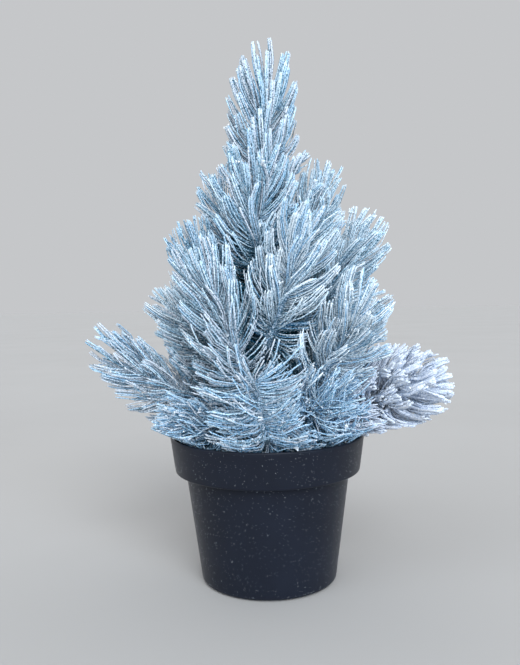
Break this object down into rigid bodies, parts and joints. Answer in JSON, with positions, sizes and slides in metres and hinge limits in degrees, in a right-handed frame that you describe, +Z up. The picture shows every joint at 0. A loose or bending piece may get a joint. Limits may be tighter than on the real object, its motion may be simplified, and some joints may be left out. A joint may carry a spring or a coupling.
{
  "type": "potted artificial pine tree",
  "caption": "Small artificial pine with frosted needles, a tapering stem, upswept boughs and full sprigs, standing in a round black plastic pot with a wide rim band.",
  "frame": {"origin": "middle of the flat underside of the pot", "axes": "+Z up along the tree's stem, -Y towards the pictured front, +X to the right of that view"},
  "size_m": [0.1881, 0.1701, 0.2769],
  "materials": {
    "pot_plastic": "fine matt moulded black plastic with a bluish sheen and stray specks of frost",
    "filling": "rough dark cast filling",
    "stem_wrap": "dull brown wrapped wire, ridged by its winding",
    "frosted_needles": "grey-green needles under pale blue-white granular frost"
  },
  "bodies": {
    "root": {"pot": "pot_plastic", "filling": "filling", "stem": "stem_wrap", "upper_left_bough": "stem_wrap", "upper_left_sprig": "frosted_needles", "upper_right_bough": "stem_wrap", "upper_right_sprig": "frosted_needles", "upper_front_bough": "stem_wrap", "upper_front_sprig": "frosted_needles", "upper_back_bough": "stem_wrap", "upper_back_sprig": "frosted_needles", "shoulder_front_bough": "stem_wrap", "shoulder_front_sprig": "frosted_needles", "shoulder_right_bough": "stem_wrap", "shoulder_right_sprig": "frosted_needles", "shoulder_left_bough": "stem_wrap", "shoulder_left_sprig": "frosted_needles", "shoulder_back_left_bough": "stem_wrap", "shoulder_back_left_sprig": "frosted_needles", "shoulder_back_right_bough": "stem_wrap", "shoulder_back_right_sprig": "frosted_needles", "flank_left_bough": "stem_wrap", "flank_left_sprig": "frosted_needles", "flank_front_left_bough": "stem_wrap", "flank_front_left_sprig": "frosted_needles", "flank_front_right_bough": "stem_wrap", "flank_front_right_sprig": "frosted_needles", "flank_back_left_bough": "stem_wrap", "flank_back_left_sprig": "frosted_needles", "flank_back_bough": "stem_wrap", "flank_back_sprig": "frosted_needles", "flank_back_right_bough": "stem_wrap", "flank_back_right_sprig": "frosted_needles", "skirt_front_bough": "stem_wrap", "skirt_front_sprig": "frosted_needles", "skirt_front_right_bough": "stem_wrap", "skirt_front_right_sprig": "frosted_needles", "skirt_right_bough": "stem_wrap", "skirt_right_sprig": "frosted_needles", "skirt_left_bough": "stem_wrap", "skirt_left_sprig": "frosted_needles", "skirt_back_left_bough": "stem_wrap", "skirt_back_left_sprig": "frosted_needles", "skirt_back_bough": "stem_wrap", "skirt_back_sprig": "frosted_needles", "skirt_back_right_bough": "stem_wrap", "skirt_back_right_sprig": "frosted_needles", "collar_left_bough": "stem_wrap", "collar_left_sprig": "frosted_needles", "collar_right_bough": "stem_wrap", "collar_right_sprig": "frosted_needles", "collar_back_left_bough": "stem_wrap", "collar_back_left_sprig": "frosted_needles", "collar_back_right_bough": "stem_wrap", "collar_back_right_sprig": "frosted_needles", "leader_sprig": "frosted_needles"}
  },
  "joints": []
}
